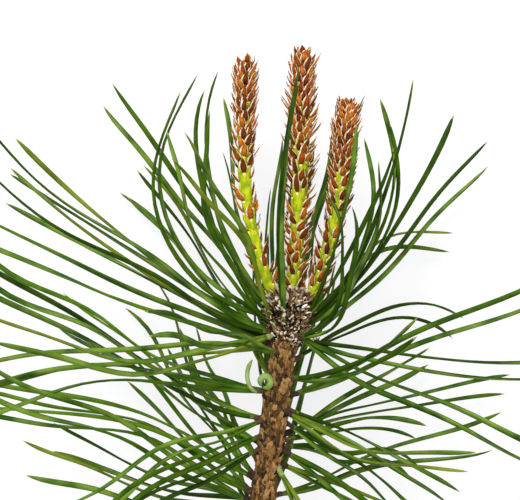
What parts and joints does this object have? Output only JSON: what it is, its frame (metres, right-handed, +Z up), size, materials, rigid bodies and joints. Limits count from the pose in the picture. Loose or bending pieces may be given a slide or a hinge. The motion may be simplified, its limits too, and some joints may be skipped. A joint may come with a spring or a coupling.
{
  "type": "mugo pine branch tip",
  "caption": "Cut tip of a mugo pine branch with long paired needles and upright flowering candles, lying on its lower needles.",
  "frame": {"origin": "middle of the bounding box, on the surface that the branch lies on", "axes": "+X across the branch, +Y from the cut end of the stem to the tips of the candles, +Z up from the surface"},
  "size_m": [0.1564, 0.1634, 0.0939],
  "materials": {
    "bark": "rough scaly bark",
    "needle": "satin green needle",
    "bud_scale": "dry papery scale",
    "candle": "soft young shoot with rusty scales"
  },
  "bodies": {
    "root": {"woody_stem": "bark", "needles_lower_right": "needle", "needles_lower_top": "needle", "needles_lower_left": "needle", "needles_lower_under": "needle", "needles_middle_right": "needle", "needles_middle_top": "needle", "needles_middle_left": "needle", "needles_middle_under": "needle", "needles_upper_right": "needle", "needles_upper_top": "needle", "needles_upper_left": "needle", "needles_upper_under": "needle", "needles_crown_right": "needle", "needles_crown_top": "needle", "needles_crown_left": "needle", "needles_crown_under": "needle", "bud_scales": "bud_scale", "candle_left": "candle", "candle_middle": "candle", "candle_right": "candle"}
  },
  "joints": []
}
